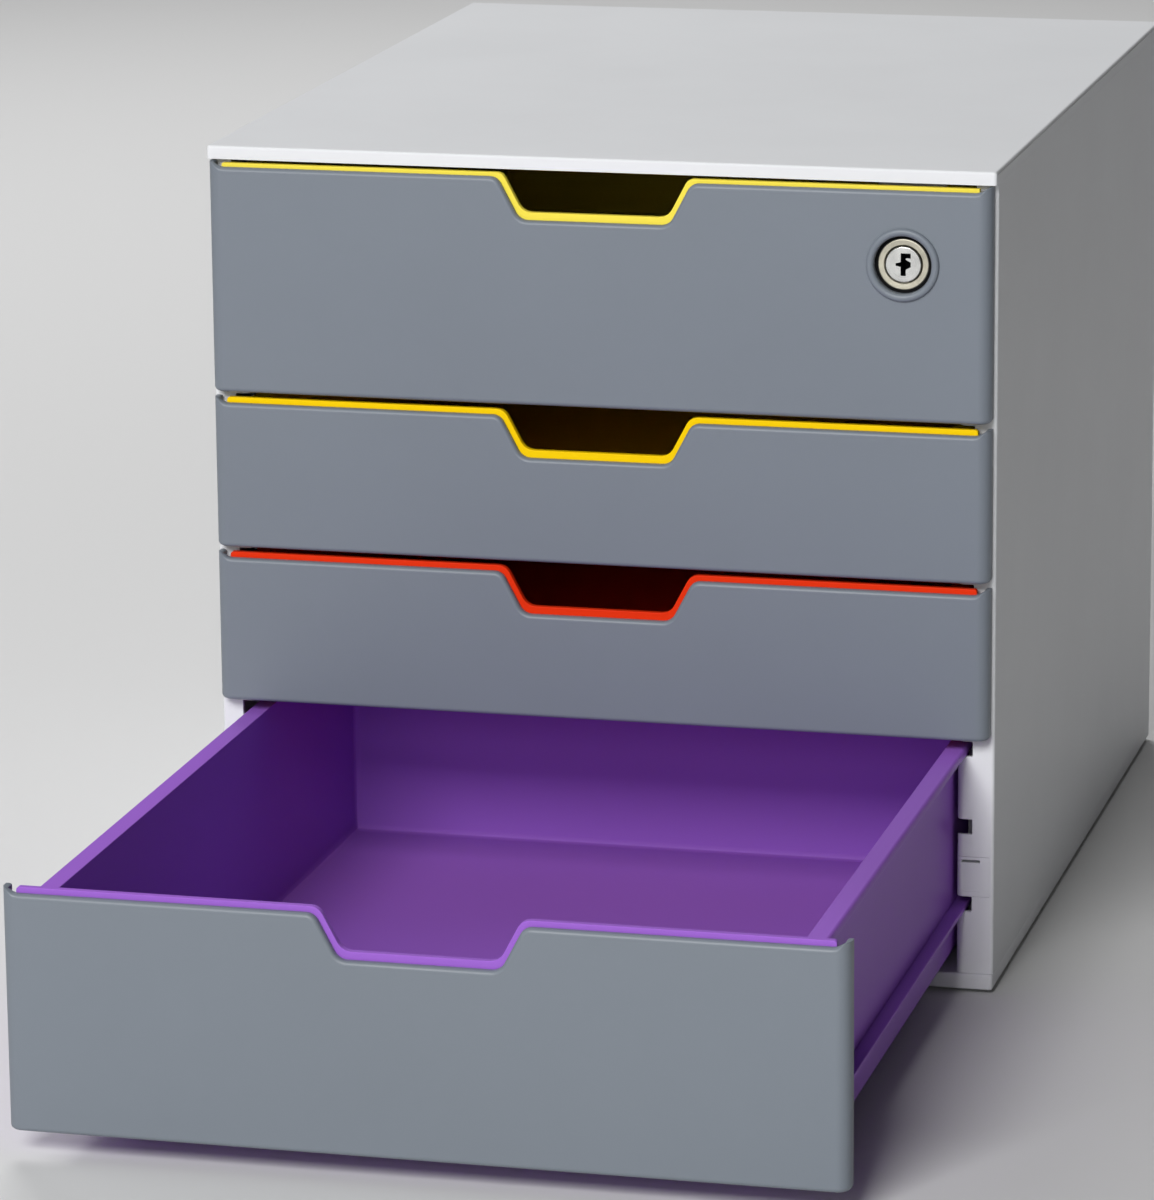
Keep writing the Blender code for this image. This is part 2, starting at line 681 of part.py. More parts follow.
def front_cover(number, height, has_lock, paint, body):
    """A slate grey front: a thin plate whose sides and bottom wrap back round the tray's front wall."""
    corners = [
        (-COVER_HALF, COVER_FRONT, COVER_CORNER),
        (COVER_HALF, COVER_FRONT, COVER_CORNER),
        (COVER_HALF, COVER_BACK, 0),
        (-COVER_HALF, COVER_BACK, 0),
    ]
    plan = rounded(corners)
    cover = prism(f"front_cover_{number}", plan, "Z", COVER_BOTTOM_GAP, height + OVERRUN)
    radius = edge_radius(COVER_BOTTOM_RADIUS, COVER_CORNER)
    bevel_edges(
        cover,
        lambda at, way: near(at.z, COVER_BOTTOM_GAP) and not near(at.y, COVER_BACK),
        radius,
        EDGE_STEPS,
    )
    face = prism("face", cover_outline(height), "Y", COVER_FRONT, COVER_BACK + OVERRUN)
    bevel_edges(
        face,
        lambda at, way: near(at.y, COVER_FRONT) and at.z > 0,
        edge_radius(COVER_FACE_RADIUS, EAR_RADIUS),
        EDGE_STEPS,
    )
    combine(cover, face, "INTERSECT")
    half = COVER_HALF - COVER_RETURN
    low = (-half, COVER_FRONT + COVER_WALL, COVER_BOTTOM_GAP + COVER_RETURN)
    cut(cover, block("hollow", low, (half, COVER_BACK + OVERRUN, height + 2 * OVERRUN)))
    if has_lock:
        centre = (LOCK_X, height - LOCK_DROP)
        join(cover, lock_collar(centre))
        profile = [
            (0, COVER_FRONT - OVERRUN),
            (LOCK_HOLE_RADIUS, COVER_FRONT - OVERRUN),
            (LOCK_HOLE_RADIUS, COVER_BACK + OVERRUN),
            (0, COVER_BACK + OVERRUN),
        ]
        cut(cover, turned("hole", profile, centre, ROUND_STEPS))
    return finish(cover, paint, body)


def lock_collar(centre):
    """The raised, rounded collar on the cover round the lock."""
    inner = LOCK_HOLE_RADIUS - SEAT_GAP
    middle = (COLLAR_RADIUS + inner) / 2
    half = (COLLAR_RADIUS - inner) / 2
    root = COVER_FRONT + COVER_WALL / 2
    profile = [(inner, root)]
    for count in range(COLLAR_STEPS + 1):
        swing = math.pi * count / COLLAR_STEPS
        profile.append((middle - half * math.cos(swing), COVER_FRONT - COLLAR_RISE * math.sin(swing)))
    profile.append((COLLAR_RADIUS, root))
    return turned("collar", profile, centre, ROUND_STEPS)


def tray_section(units):
    """The tray's outer shape seen from the front: rims in the top slot and rails in the lowest one."""
    rim_top = (units - 1) * UNIT_PITCH + RIM_TOP_IN_UNIT
    rim_low = rim_top - RIM_THICKNESS
    rail_top = RAIL_TOP_IN_UNIT
    rail_low = rail_top - RAIL_THICKNESS
    right = [
        (TRAY_HALF, TRAY_BOTTOM_CLEARANCE, TRAY_KEEL_RADIUS),
        (TRAY_HALF, rail_low, 0),
        (RIM_HALF, rail_low, 0),
        (RIM_HALF, rail_top, 0),
        (TRAY_HALF, rail_top, 0),
        (TRAY_HALF, rim_low, 0),
        (RIM_HALF, rim_low, 0),
        (RIM_HALF, rim_top, RIM_EDGE_RADIUS),
    ]
    left = [(-a, b, radius) for a, b, radius in reversed(right)]
    return rounded(right + left)


def tray(number, units, has_lock, paint, body):
    """A deep tray with rims and rails that hang in the runner slots, and a wide front wall."""
    height = units * UNIT_PITCH
    rim_top = height - UNIT_PITCH + RIM_TOP_IN_UNIT
    box_front = TRAY_FRONT + TRAY_WALL / 2
    made = prism(f"tray_{number}", tray_section(units), "Y", box_front, TRAY_BACK)
    front_half = COVER_HALF - COVER_RETURN - SEAT_GAP
    front_low = COVER_BOTTOM_GAP + COVER_RETURN + SEAT_GAP
    front_top = height - TRAY_FRONT_TOP_GAP
    outline = rounded(rectangle((-front_half, front_low), (front_half, front_top), TRAY_FRONT_RADIUS))
    join(made, prism("front_wall", outline, "Y", TRAY_FRONT, TRAY_FRONT_BACK))
    inner_half = TRAY_HALF - TRAY_WALL
    floor = TRAY_BOTTOM_CLEARANCE + TRAY_FLOOR
    low = (-inner_half, TRAY_FRONT_BACK, floor)
    pocket = block("pocket", low, (inner_half, TRAY_BACK - TRAY_WALL, rim_top + OVERRUN))
    bevel_edges(pocket, lambda at, way: not near(at.z, rim_top + OVERRUN), TRAY_INNER_RADIUS, EDGE_STEPS)
    cut(made, pocket)
    cut(made, grip_tool(height))
    for side in ("left", "right"):
        join(made, rail_lug(side))
    if has_lock:
        radius = BARREL_RADIUS + SEAT_GAP
        profile = [(0, TRAY_FRONT - OVERRUN), (radius, TRAY_FRONT - OVERRUN)]
        profile += [(radius, TRAY_FRONT_BACK + OVERRUN), (0, TRAY_FRONT_BACK + OVERRUN)]
        cut(made, turned("hole", profile, (LOCK_X, height - LOCK_DROP), SMALL_ROUND_STEPS))
    return finish(made, paint, body)


def grip_tool(height):
    """The cut in the tray's front wall behind the cover's finger cut-out, a lip smaller all round."""
    top = height - COVER_TOP_GAP
    low = top - GRIP_DEPTH + GRIP_LIP_RISE
    slope = (GRIP_TOP_HALF - GRIP_BOTTOM_HALF) / GRIP_DEPTH
    low_half = GRIP_BOTTOM_HALF + slope * GRIP_LIP_RISE - GRIP_LIP_SIDE
    front_top = height - TRAY_FRONT_TOP_GAP
    top_half = low_half + slope * (front_top - low)
    flare = GRIP_SHOULDER_RADIUS
    end_half = top_half + flare + flare
    corners = [
        (low_half, low, GRIP_BOTTOM_RADIUS),
        (top_half, front_top, flare),
        (end_half, front_top, 0),
        (end_half, front_top + OVERRUN, 0),
        (-end_half, front_top + OVERRUN, 0),
        (-end_half, front_top, 0),
        (-top_half, front_top, flare),
        (-low_half, low, GRIP_BOTTOM_RADIUS),
    ]
    return prism("grip", rounded(corners), "Y", TRAY_FRONT - OVERRUN, TRAY_FRONT_BACK + TRAY_WALL)


def rail_lug(side):
    """The lug on a rail that meets the stop's tooth when the drawer is fully out."""
    sign = side_sign(side)
    front = STOP_BACK + TRAVEL + SEAT_GAP
    top = UNIT_PITCH - SLOT_DROP - LUG_TOP_CLEARANCE
    low = RAIL_TOP_IN_UNIT - RAIL_THICKNESS / 2
    corners = [
        (front, low, 0),
        (front + 2 * LUG_LENGTH, low, 0),
        (front + LUG_LENGTH, top, 0),
        (front, top, 0),
    ]
    near_x, far_x = sorted((sign * (TRAY_HALF - TRAY_WALL / 2), sign * RIM_HALF))
    return prism("lug", rounded(corners), "X", near_x, far_x)


def lock_washer(height, paint, body):
    """The black washer under the lock's ring, which shows in the gap round it."""
    outer = LOCK_HOLE_RADIUS - SEAT_GAP
    inner = BARREL_RADIUS + SEAT_GAP
    back = TRAY_FRONT - SEAT_GAP
    front = back - WASHER_THICKNESS
    profile = [(inner, front), (outer, front), (outer, back), (inner, back)]
    washer = turned("lock_washer", profile, (LOCK_X, height - LOCK_DROP), ROUND_STEPS)
    return finish(washer, paint, body)


def lock_housing(height, paint, body):
    """The fixed barrel of the lock, with the ring that shows inside the cover's collar."""
    bore = PLUG_RADIUS + PLUG_RUNNING_GAP
    flange_back = TRAY_FRONT - SEAT_GAP - WASHER_THICKNESS - SEAT_GAP
    profile = [
        (bore, FLANGE_FRONT + FLANGE_EDGE_RADIUS),
        (bore + FLANGE_EDGE_RADIUS, FLANGE_FRONT),
        (FLANGE_RADIUS - FLANGE_EDGE_RADIUS, FLANGE_FRONT),
        (FLANGE_RADIUS, FLANGE_FRONT + FLANGE_EDGE_RADIUS),
        (FLANGE_RADIUS, flange_back),
        (BARREL_RADIUS, flange_back),
        (BARREL_RADIUS, BARREL_BACK),
        (bore, BARREL_BACK),
    ]
    housing = turned("lock_housing", profile, (LOCK_X, height - LOCK_DROP), ROUND_STEPS)
    return finish(housing, paint, body)


def lock_nut(height, paint, body):
    """The hexagon nut that draws the lock's ring against the tray's front wall."""
    centre = (LOCK_X, height - LOCK_DROP)
    radius = NUT_ACROSS / 2 / math.cos(math.pi / NUT_SIDES)
    front = TRAY_FRONT_BACK + SEAT_GAP
    back = front + NUT_THICKNESS
    nut = prism("lock_nut", polygon(centre, radius, NUT_SIDES), "Y", front, back)
    bore = BARREL_RADIUS + SEAT_GAP
    profile = [(0, front - OVERRUN), (bore, front - OVERRUN), (bore, back + OVERRUN), (0, back + OVERRUN)]
    cut(nut, turned("bore", profile, centre, ROUND_STEPS))
    return finish(nut, paint, body)


def keyway_tool(front):
    """The profiled slot for the key, about the lock's own axis."""
    half = KEYWAY_WIDTH / 2
    tall = KEYWAY_HEIGHT / 2
    corners = [
        (-half, -tall, 0),
        (half, -tall, 0),
        (half, -KEYWAY_WARD, 0),
        (half + KEYWAY_WARD, -KEYWAY_WARD / 2, 0),
        (half + KEYWAY_WARD, KEYWAY_WARD / 2, 0),
        (half, KEYWAY_WARD, 0),
        (half, tall - KEYWAY_WARD, 0),
        (half + KEYWAY_WARD, tall - KEYWAY_WARD, 0),
        (half + KEYWAY_WARD, tall, 0),
        (-half, tall, 0),
        (-half, KEYWAY_WARD / 2, 0),
        (-half - KEYWAY_WARD, KEYWAY_WARD / 4, 0),
        (-half - KEYWAY_WARD, -KEYWAY_WARD / 4, 0),
        (-half, -KEYWAY_WARD / 2, 0),
    ]
    return prism("keyway", rounded(corners), "Y", front - OVERRUN, front + KEYWAY_DEPTH)


def lock_plug(paint, body):
    """The turning core, with the keyway in its face and a square tail for the cam."""
    front = FLANGE_FRONT + PLUG_SETBACK
    profile = [
        (0, front),
        (PLUG_RADIUS - FLANGE_EDGE_RADIUS, front),
        (PLUG_RADIUS, front + FLANGE_EDGE_RADIUS),
        (PLUG_RADIUS, BARREL_BACK),
        (0, BARREL_BACK),
    ]
    plug = turned("lock_plug", profile, (0, 0), ROUND_STEPS)
    half = PLUG_TAIL / 2
    join(plug, block("tail", (-half, BARREL_BACK - PLUG_TAIL, -half), (half, CAM_BACK, half)))
    hole = CAM_SCREW_RADIUS + SEAT_GAP
    bottom = CAM_BACK - CAM_SCREW_LENGTH - SEAT_GAP
    profile = [(0, bottom), (hole, bottom), (hole, CAM_BACK + OVERRUN), (0, CAM_BACK + OVERRUN)]
    cut(plug, turned("hole", profile, (0, 0), SMALL_ROUND_STEPS))
    cut(plug, keyway_tool(front))
    return finish(plug, paint, body)


def lock_cam(paint, body):
    """The flat arm on the plug's tail, which lies level when open and turns up behind the strike."""
    half = CAM_WIDTH / 2
    corners = [
        (half, -half, half / 2),
        (half, half, half / 2),
        (-CAM_REACH, half, half / 3),
        (-CAM_REACH, -half, half / 3),
    ]
    cam = prism("lock_cam", rounded(corners[::-1]), "Y", CAM_FRONT, CAM_BACK)
    side = PLUG_TAIL / 2 + SEAT_GAP
    cut(cam, block("square", (-side, CAM_FRONT - OVERRUN, -side), (side, CAM_BACK + OVERRUN, side)))
    return finish(cam, paint, body)


def cam_screw(paint, body):
    """The screw that holds the cam on the plug's tail."""
    head_front = CAM_BACK + SEAT_GAP
    head_back = head_front + CAM_SCREW_HEAD_THICKNESS
    tip = CAM_BACK - CAM_SCREW_LENGTH
    profile = [
        (0, tip),
        (CAM_SCREW_RADIUS, tip),
        (CAM_SCREW_RADIUS, head_front),
        (CAM_SCREW_HEAD_RADIUS, head_front),
        (CAM_SCREW_HEAD_RADIUS, head_back),
        (0, head_back),
    ]
    screw = turned("cam_screw", profile, (0, 0), SMALL_ROUND_STEPS)
    return finish(screw, paint, body)


def build_casing():
    """The casing and everything that stays still in it."""
    shell = material("casing_grey", CASING_GREY, 0.45)
    steel = material("strike_steel", STEEL, 0.35, 1.0)
    rubber = material("foot_rubber", RUBBER, 0.8)
    body = body_empty("casing")
    top_panel(shell, body)
    base_plate(shell, body)
    back_panel(shell, body)
    feet(rubber, body)
    for side in ("left", "right"):
        side_panel(side, shell, body)
        runner_rack(side, shell, body)
        for number, _, bay_low in bays():
            drawer_stop(number, side, bay_low, shell, body)
    lock_strike(steel, body)
    return body


def build_drawers(casing):
    """The four drawers, the top one with its lock and the bottom one pulled out."""
    slate = material("cover_slate", COVER_GREY, 0.42)
    nickel = material("lock_nickel", NICKEL, 0.28, 1.0)
    steel = material("cam_steel", STEEL, 0.35, 1.0)
    rubber = material("washer_rubber", RUBBER, 0.7)
    last = len(DRAWER_UNITS)
    for (number, units, bay_low), (colour_name, colour) in zip(bays(), TRAY_COLOURS):
        pulled = OPEN_AT_REST if number == last else 0
        body = body_empty(f"drawer_{number}", (0, STILE_FRONT_Y - pulled, bay_low))
        body.parent = casing
        height = units * UNIT_PITCH
        has_lock = number == 1
        tray(number, units, has_lock, material("tray_" + colour_name, colour, 0.3), body)
        front_cover(number, height, has_lock, slate, body)
        if has_lock:
            lock_housing(height, nickel, body)
            lock_washer(height, rubber, body)
            lock_nut(height, steel, body)
            core = body_empty("lock_core", (LOCK_X, 0, height - LOCK_DROP))
            core.parent = body
            lock_plug(nickel, core)
            lock_cam(steel, core)
            cam_screw(steel, core)


clear_scene()
build_drawers(build_casing())
bpy.context.view_layer.update()
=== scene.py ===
"""The looks of the desktop file drawer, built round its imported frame.

Metres, +Z up, the drawers pull out towards -Y, the origin on the table under the middle of the casing.
"""

import json
import math

import bmesh
import bpy
from mathutils import Matrix, Vector

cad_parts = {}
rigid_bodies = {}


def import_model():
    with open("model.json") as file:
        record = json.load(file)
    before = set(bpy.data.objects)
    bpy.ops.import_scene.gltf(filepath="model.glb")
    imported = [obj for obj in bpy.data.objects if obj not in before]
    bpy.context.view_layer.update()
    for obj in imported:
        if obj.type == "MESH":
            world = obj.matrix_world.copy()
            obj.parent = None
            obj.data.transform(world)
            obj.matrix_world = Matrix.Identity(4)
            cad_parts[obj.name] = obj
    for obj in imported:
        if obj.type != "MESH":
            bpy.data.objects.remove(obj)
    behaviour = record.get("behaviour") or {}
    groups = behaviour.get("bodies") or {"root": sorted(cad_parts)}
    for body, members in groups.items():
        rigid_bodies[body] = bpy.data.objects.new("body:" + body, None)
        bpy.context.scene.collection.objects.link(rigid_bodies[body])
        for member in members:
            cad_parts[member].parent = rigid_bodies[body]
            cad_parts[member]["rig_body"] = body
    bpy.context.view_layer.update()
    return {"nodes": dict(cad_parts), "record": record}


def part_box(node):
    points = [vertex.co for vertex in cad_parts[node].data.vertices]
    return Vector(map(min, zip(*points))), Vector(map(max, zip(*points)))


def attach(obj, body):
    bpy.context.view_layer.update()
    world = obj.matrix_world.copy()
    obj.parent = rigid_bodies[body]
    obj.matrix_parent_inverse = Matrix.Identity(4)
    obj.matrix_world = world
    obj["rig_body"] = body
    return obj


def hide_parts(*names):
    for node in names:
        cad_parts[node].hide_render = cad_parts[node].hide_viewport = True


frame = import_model()

# Camera, fitted to the casing's corners in the photograph
CAMERA_EYE = Vector((0.4999, -2.15245, 0.6407))
CAMERA_YAW = math.radians(-14.408)
CAMERA_PITCH = math.radians(13.908)
CAMERA_ROLL = math.radians(-0.521)
CAMERA_LENS = 180.22
CAMERA_SENSOR = 36
CLIP_NEAR = 0.05
CLIP_FAR = 200

# Light: place, width, height and strength of each soft box, all aimed at the front half of the casing,
# and the boxes that glossy surfaces don't reflect
LIGHT_AIM = Vector((0.0, -0.12, 0.14))
SOFT_BOXES = {
    "key": (Vector((-0.45, -3.50, 2.35)), 1.8, 1.3, 132.0),
    "low_front": (Vector((0.05, -3.4, 0.95)), 2.0, 0.7, 15.0),
    "overhead": (Vector((-0.2, 0.0, 2.6)), 1.2, 1.2, 1.0),
    "upper_left": (Vector((-1.7, -0.1, 1.6)), 1.4, 1.4, 7.0),
    "back": (Vector((0.0, 2.6, 1.4)), 2.4, 1.0, 1.0),
    "high_back": (Vector((-0.9, 1.8, 2.0)), 1.2, 1.2, 38.0),
}
NO_GLINT = ("back", "high_back", "upper_left")

# Floor and surround
FLOOR_SIZE = 60.0
FLOOR_COLOUR = (0.68, 0.68, 0.68)
FLOOR_ROUGHNESS = 0.9
SKY_HIGH = 0.05
SKY_LOW = 0.03

# Rounded edges
EDGE = 0.0003
SEAM_EDGE = 0.00008
EDGE_STEPS = 3
SHARP_ANGLE = math.radians(32)
FLAT_ANGLE = math.radians(0.5)
NORMAL_WEIGHT = 80
WELD = 0.000002

# Facets and cuts of the finer pieces
ARC_STEP = math.radians(9)
FINE_STEPS = 6
ROUND_PROFILE = 0.5
ROUND_STEPS = 96
OVERRUN = 0.005

# Casing: places as the frame has them, with the scene's own thin sheets, seams and small radii
HALF_WIDTH = 0.140
CASE_CORNER = 0.0012
STILE_FRONT = -0.17225
STILE_BACK = -0.16425
STILE_SHEET = 0.0016
STILE_INNER_RADIUS = 0.0026
BAY_HALF = 0.1268
SLOT_FLOOR = 0.1324
SLOT_HEIGHT = 0.0055
SLOT_DROP = 0.0001
NOTCH_RADIUS = 0.0008
LEDGE_DROP = 0.004
BASE_LIP = 0.0008
STACK_LOW = 0.0073
STACK_HIGH = 0.2873
UNIT_PITCH = 0.028
UNITS = 10
SKIN = 0.0022
BACK_Y = 0.17625
LEDGE_BACK = 0.17355
LEDGE_FRONT = 0.17155
LEDGE_WIDTH = 0.006
WINDOW_SKIN = 0.0015
FIT = 0.00005
DRAWERS = 4

# The runner racks' front ends, drawn about 14 mm behind those of the solids
RACK_FRONT = -0.150

# The seam under the lid's rounded side edges
LID_SEAM_TOP = 0.2910
LID_SEAM_HEIGHT = 0.00025
LID_SEAM_DEPTH = 0.0005
LID_SEAM_FRONT = -0.1749

# Drawer stops
STOP_GAP = 0.0003
STOP_TOOTH = 0.0014
STOP_TOOTH_LENGTH = 0.0022
STOP_RAMP = 0.0034
STOP_PAD_INSET = 0.0018
STOP_PAD_WIDTH = 0.0066
STOP_PAD_DEPTH = 0.0003
STOP_SEAM = 0.00014
STOP_SLIT = 0.0011
STOP_SLIT_DROP = 0.0009

# Front covers
COVER_DEPTH = 0.0066
COVER_WALL = 0.0025
COVER_RETURN = 0.002
COVER_CORNER = 0.0046
COVER_FACE_RADIUS = 0.0015
COVER_BOTTOM_RADIUS = 0.0016
EAR_RISE = 0.0018
EAR_WIDTH = 0.0014
EAR_RUN = 0.0032
EAR_TIP_RADIUS = 0.0016
EAR_FOOT_RADIUS = 0.0050
GRIP_TOP_HALF = 0.0344
GRIP_BOTTOM_HALF = 0.0265
GRIP_DEPTH = 0.0149
GRIP_SHOULDER_RADIUS = 0.0045
GRIP_BOTTOM_RADIUS = 0.005

# Tray flanges, drawn in where they run in the slots
FLANGE_ROOT = 0.1262
FLANGE_EDGE = 0.1312
FLANGE_SHOWN = 0.1301

# The top tray's front wall, under the lid
TOP_TRAY_HIGH = 0.2861

# Lock: radii, places along its axis, and the place among the plug's materials of the near-black that paints
# shade inside the keyway
COLLAR_INNER = 0.0100
COLLAR_OUTER = 0.0127
COLLAR_RISE = 0.0015
COLLAR_FULLNESS = 0.8
WASHER_INNER = 0.0082
WASHER_FRONT = -0.1780
WASHER_BACK = -0.1773
RING_RADIUS = 0.0089
RING_FRONT = -0.17855
RING_EDGE = 0.0005
RING_DISH = 0.0001
BARREL_RADIUS = 0.0080
PLUG_RADIUS = 0.0062
PLUG_GAP = 0.0004
PLUG_FRONT = -0.17890
PLUG_EDGE = 0.0004
KEYWAY_HEIGHT = 0.0078
KEYWAY_WIDTH = 0.0018
KEYWAY_WARD = 0.0017
KEYWAY_DEPTH = 0.009
KEYWAY_SHADE_PAINT = 1

# Colours
CASING = (0.75, 0.76, 0.778)
SLATE = (0.178, 0.203, 0.236)
YELLOW = (0.92, 0.76, 0.085)
AMBER = (0.96, 0.63, 0.003)
RED = (0.80, 0.036, 0.006)
PURPLE = (0.33, 0.13, 0.60)
NICKEL = (0.70, 0.70, 0.68)
RING_NICKEL = (0.60, 0.57, 0.46)
STEEL = (0.50, 0.50, 0.50)
RUBBER = (0.022, 0.022, 0.024)
# Near-black: partly the washer's own black, partly painted shade of the gap round the ring and inside the
# keyway
WASHER_BLACK_AND_PAINTED_SHADE = (0.004, 0.004, 0.0045)

# The parts of a noise's range that tints and roughness follow
MID_BAND = (0.35, 0.65)
WIDE_BAND = (0.3, 0.7)

# Plastics: roughness, its spread, grain per metre, depth of the grain, share of mottling, and shine
CASING_FINISH = (0.50, 0.015, 2600.0, 0.00004, 0.012, 0.25)
COVER_FINISH = (0.45, 0.015, 3000.0, 0.00004, 0.012, 0.5)
TRAY_FINISH = (0.34, 0.008, 3400.0, 0.00002, 0.008, 0.05)
PLASTIC_IOR = 1.5

# Noises of the plastics: scale per metre, detail, roughness and stretch, as far as each needs them.
# The grain has no scale here, because each finish has its own. Bumps are a distance and a strength.
PLASTIC_CLOUD = (14.0, 5.0)
PLASTIC_WAVE = (9.0, 1.0)
PLASTIC_RUB = (45.0, 6.0, 0.65, (1, 1, 0.35))
GRAIN_NOISE = (3.0, 0.6)
GRAIN_STRENGTH = 0.35
WAVE_BUMP = (0.0006, 0.12)

# Metals: roughness, shares of tint and steps of roughness, noises and bumps as above
RING_ROUGHNESS = 0.40
NICKEL_ROUGHNESS = 0.24
STEEL_ROUGHNESS = 0.38
METAL_DARKER = -0.12
METAL_LIGHTER = 0.06
METAL_SMOOTHER = 0.07
METAL_ROUGHER = 0.10
METAL_CLOUD = (260.0, 4.0)
BRUSHED_NOISE = (900.0, 3.0, 0.6, (0.08, 1, 1))
TURNED_SCALE = 5200.0
TURNED_DETAIL = 2.0
TURNED_SQUASH = (1, 0.15, 1)
MARK_BUMP = (0.00004, 0.25)
METAL_CLOUD_BUMP = (0.0001, 0.15)

# Dull blacks: scale and detail of the cloud, shares of tint, lowest and highest roughness, shine,
# and the grain's distance and strength
RUBBER_FINISH = (300.0, 5.0, -0.3, 1.2, 0.62, 0.85, 0.5, 0.00008, 0.4)
BLACK_FINISH = (400.0, 4.0, -0.4, 0.6, 0.75, 0.95, 0.12, 0.00006, 0.3)
DULL_GRAIN = 2500.0


def graph(name):
    """A new material's nodes, links and Principled shader."""
    made = bpy.data.materials.new(name)
    made.use_nodes = True
    tree = made.node_tree
    return made, tree, tree.nodes["Principled BSDF"]


def place_noise(tree, place, scale, detail=4.0, roughness=0.55, stretch=(1, 1, 1)):
    """Noise at a scale per metre, in the object's own coordinates."""
    spread = tree.nodes.new("ShaderNodeMapping")
    spread.inputs["Scale"].default_value = stretch
    noise = tree.nodes.new("ShaderNodeTexNoise")
    noise.inputs["Scale"].default_value = scale
    noise.inputs["Detail"].default_value = detail
    noise.inputs["Roughness"].default_value = roughness
    tree.links.new(place, spread.inputs["Vector"])
    tree.links.new(spread.outputs["Vector"], noise.inputs["Vector"])
    return noise.outputs["Fac"]


def ranged(tree, value, low, high, start=0.0, end=1.0):
    """A value mapped from one range to another."""
    node = tree.nodes.new("ShaderNodeMapRange")
    node.inputs["From Min"].default_value = start
    node.inputs["From Max"].default_value = end
    node.inputs["To Min"].default_value = low
    node.inputs["To Max"].default_value = high
    tree.links.new(value, node.inputs["Value"])
    return node.outputs["Result"]


def tinted(tree, value, colour, darker, lighter):
    """A colour, darker or lighter by a share, by a value."""
    ramp = tree.nodes.new("ShaderNodeValToRGB")
    for element, start, share in zip(ramp.color_ramp.elements, MID_BAND, (darker, lighter)):
        element.position = start
        element.color = (*shaded(colour, share), 1)
    tree.links.new(value, ramp.inputs["Fac"])
    return ramp.outputs["Color"]


def bumped(tree, heights, shader):
    """Bumps of (height, distance, strength), one on the other, into the shader's normal."""
    normal = None
    for height, distance, strength in heights:
        bump = tree.nodes.new("ShaderNodeBump")
        bump.inputs["Distance"].default_value = distance
        bump.inputs["Strength"].default_value = strength
        tree.links.new(height, bump.inputs["Height"])
        if normal:
            tree.links.new(normal, bump.inputs["Normal"])
        normal = bump.outputs["Normal"]
    tree.links.new(normal, shader.inputs["Normal"])


def shaded(colour, share):
    """A colour made lighter or darker by a share."""
    return tuple(min(1.0, part * (1 + share)) for part in colour)


def moulded(name, colour, finish):
    """Moulded plastic: faint mottling, a fine spark-eroded grain, soft waviness and rubbed patches."""
    rough, spread, grain, grain_depth, mottle, shine = finish
    made, tree, shader = graph(name)
    place = tree.nodes.new("ShaderNodeTexCoord").outputs["Object"]
    cloud = place_noise(tree, place, *PLASTIC_CLOUD)
    fine = place_noise(tree, place, grain, *GRAIN_NOISE)
    wave = place_noise(tree, place, *PLASTIC_WAVE)
    rub = place_noise(tree, place, *PLASTIC_RUB)
    tree.links.new(tinted(tree, cloud, colour, -mottle, mottle), shader.inputs["Base Color"])
    roughness = ranged(tree, rub, rough - spread, rough + spread, *MID_BAND)
    tree.links.new(roughness, shader.inputs["Roughness"])
    shader.inputs["IOR"].default_value = PLASTIC_IOR
    shader.inputs["Specular IOR Level"].default_value = shine
    bumped(tree, [(wave, *WAVE_BUMP), (fine, grain_depth, GRAIN_STRENGTH)], shader)
    return made


def vector_step(tree, operation, value, by=None):
    """One step of vector arithmetic, on a value and, where it needs one, a fixed vector."""
    node = tree.nodes.new("ShaderNodeVectorMath")
    node.operation = operation
    if by:
        node.inputs[1].default_value = by
    tree.links.new(value, node.inputs[0])
    return node.outputs["Value" if operation == "LENGTH" else "Vector"]


def metal(name, colour, rough, turned_about=None):
    """Plated metal with fine marks: turned rings about an axis along Y, or a brushed grain."""
    made, tree, shader = graph(name)
    place = tree.nodes.new("ShaderNodeTexCoord").outputs["Object"]
    cloud = place_noise(tree, place, *METAL_CLOUD)
    if turned_about:
        moved = vector_step(tree, "SUBTRACT", place, turned_about)
        flat = vector_step(tree, "MULTIPLY", moved, TURNED_SQUASH)
        length = vector_step(tree, "LENGTH", flat)
        rings = tree.nodes.new("ShaderNodeTexNoise")
        rings.noise_dimensions = "1D"
        rings.inputs["Scale"].default_value = TURNED_SCALE
        rings.inputs["Detail"].default_value = TURNED_DETAIL
        tree.links.new(length, rings.inputs["W"])
        marks = rings.outputs["Fac"]
    else:
        marks = place_noise(tree, place, *BRUSHED_NOISE)
    tree.links.new(tinted(tree, cloud, colour, METAL_DARKER, METAL_LIGHTER), shader.inputs["Base Color"])
    roughness = ranged(tree, marks, rough - METAL_SMOOTHER, rough + METAL_ROUGHER, *WIDE_BAND)
    tree.links.new(roughness, shader.inputs["Roughness"])
    shader.inputs["Metallic"].default_value = 1.0
    bumped(tree, [(marks, *MARK_BUMP), (cloud, *METAL_CLOUD_BUMP)], shader)
    return made


def dull(name, colour, finish):
    """A dull black with a faint bloom and a fine grain."""
    scale, detail, darker, lighter, smoothest, roughest, shine, grain_depth, grain_strength = finish
    made, tree, shader = graph(name)
    place = tree.nodes.new("ShaderNodeTexCoord").outputs["Object"]
    cloud = place_noise(tree, place, scale, detail)
    tree.links.new(tinted(tree, cloud, colour, darker, lighter), shader.inputs["Base Color"])
    roughness = ranged(tree, cloud, smoothest, roughest, *WIDE_BAND)
    tree.links.new(roughness, shader.inputs["Roughness"])
    shader.inputs["Specular IOR Level"].default_value = shine
    bumped(tree, [(place_noise(tree, place, DULL_GRAIN), grain_depth, grain_strength)], shader)
    return made


